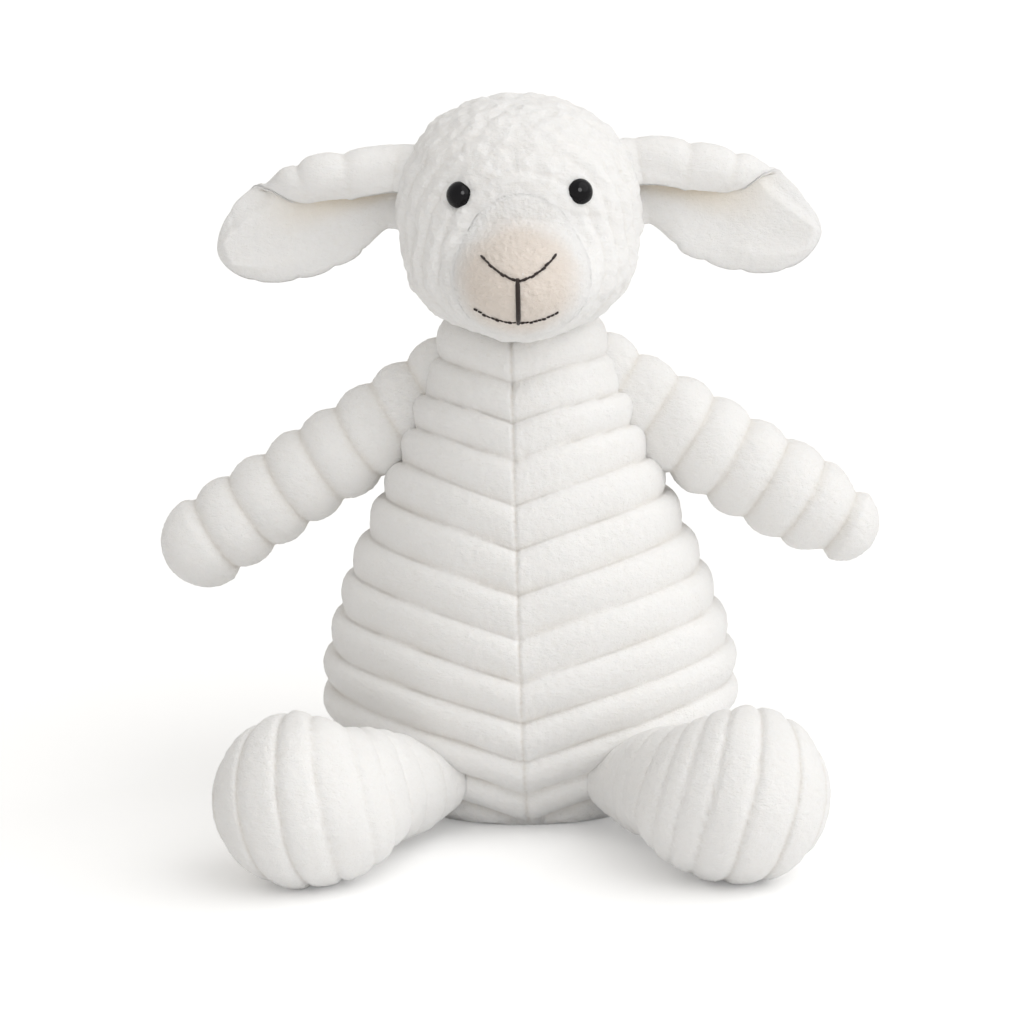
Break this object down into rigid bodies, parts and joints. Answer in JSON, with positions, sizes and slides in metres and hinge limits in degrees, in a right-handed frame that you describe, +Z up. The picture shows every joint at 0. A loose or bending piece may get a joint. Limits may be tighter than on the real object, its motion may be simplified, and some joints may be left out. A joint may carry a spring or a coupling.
{
  "type": "plush sheep",
  "caption": "Seated plush sheep in off-white ribbed pile, with drooping rolled ears, floppy arms and legs, round feet, a smooth beige muzzle and a stitched nose and mouth",
  "frame": {"origin": "centre of the flat seat underneath the body", "axes": "+Z up, the face looks along -Y, +X is the sheep's own left; at rest it sits"},
  "size_m": [0.2449, 0.2055, 0.2391],
  "materials": {
    "ribbed_pile": "ribbed plush pile",
    "muzzle_pile": "short smooth pile",
    "ear_lining": "short smooth pile",
    "fibre_fill": "loose polyester fibre",
    "liner_cloth": "plain woven liner",
    "dark_thread": "twisted thread",
    "eye_plastic": "polished black",
    "washer_plastic": "moulded"
  },
  "bodies": {
    "body": {"left_body_panel": "ribbed_pile", "right_body_panel": "ribbed_pile", "seat_panel": "ribbed_pile", "seat_pellet_bag": "liner_cloth", "body_stuffing": "fibre_fill"},
    "neck": {"neck_stuffing": "fibre_fill"},
    "head": {"left_head_panel": "ribbed_pile", "right_head_panel": "ribbed_pile", "muzzle_panel": "muzzle_pile", "head_stuffing": "fibre_fill", "nose_thread": "dark_thread", "cleft_thread": "dark_thread", "mouth_thread": "dark_thread", "left_eye": "eye_plastic", "right_eye": "eye_plastic", "left_eye_washer": "washer_plastic", "right_eye_washer": "washer_plastic"},
    "right_ear": {"right_ear_back": "ribbed_pile", "right_ear_lining": "ear_lining"},
    "left_ear": {"left_ear_back": "ribbed_pile", "left_ear_lining": "ear_lining"},
    "right_arm": {"right_arm_front": "ribbed_pile", "right_arm_back": "ribbed_pile", "right_arm_stuffing": "fibre_fill"},
    "left_arm": {"left_arm_front": "ribbed_pile", "left_arm_back": "ribbed_pile", "left_arm_stuffing": "fibre_fill"},
    "right_leg": {"right_leg_skin": "ribbed_pile", "right_leg_stuffing": "fibre_fill", "right_foot_pellet_bag": "liner_cloth"},
    "left_leg": {"left_leg_skin": "ribbed_pile", "left_leg_stuffing": "fibre_fill", "left_foot_pellet_bag": "liner_cloth"},
    "tail": {"tail_skin": "ribbed_pile", "tail_stuffing": "fibre_fill"}
  },
  "joints": [
    {"name": "neck_turn", "type": "hinge", "parent": "body", "child": "neck", "pos_m": [0, -0.004, 0.147], "axis": [0, 0, 1], "range_deg": [-30, 30], "stiffness_Nm_per_rad": 0.1},
    {"name": "head_nod", "type": "hinge", "parent": "neck", "child": "head", "pos_m": [0, -0.004, 0.147], "axis": [0.9986, 0.0523, 0], "range_deg": [-20, 15], "stiffness_Nm_per_rad": 0.3},
    {"name": "right_ear_flap", "type": "hinge", "parent": "head", "child": "right_ear", "pos_m": [-0.04085, -0.00571, 0.20666], "axis": [0.1724, 0.009, 0.985], "range_deg": [-45, 30], "stiffness_Nm_per_rad": 0.003},
    {"name": "left_ear_flap", "type": "hinge", "parent": "head", "child": "left_ear", "pos_m": [0.0408, -0.00143, 0.20666], "axis": [0.1724, 0.009, -0.985], "range_deg": [-45, 30], "stiffness_Nm_per_rad": 0.003},
    {"name": "right_arm_swing", "type": "hinge", "parent": "body", "child": "right_arm", "pos_m": [-0.04066, 0, 0.13242], "axis": [0.3744, 0, 0.9273], "range_deg": [-55, 55], "stiffness_Nm_per_rad": 0.02},
    {"name": "left_arm_swing", "type": "hinge", "parent": "body", "child": "left_arm", "pos_m": [0.04066, 0, 0.13242], "axis": [0.3744, 0, -0.9273], "range_deg": [-55, 55], "stiffness_Nm_per_rad": 0.02},
    {"name": "right_leg_lift", "type": "hinge", "parent": "body", "child": "right_leg", "pos_m": [-0.03681, -0.04959, 0.02396], "axis": [-0.8741, 0.4857, 0], "range_deg": [-70, 40]},
    {"name": "left_leg_lift", "type": "hinge", "parent": "body", "child": "left_leg", "pos_m": [0.03681, -0.04959, 0.02396], "axis": [-0.8741, -0.4857, 0], "range_deg": [-70, 40]},
    {"name": "tail_wag", "type": "hinge", "parent": "body", "child": "tail", "pos_m": [0, 0.061, 0.044], "axis": [0, 0, 1], "range_deg": [-50, 50], "stiffness_Nm_per_rad": 0.002}
  ]
}
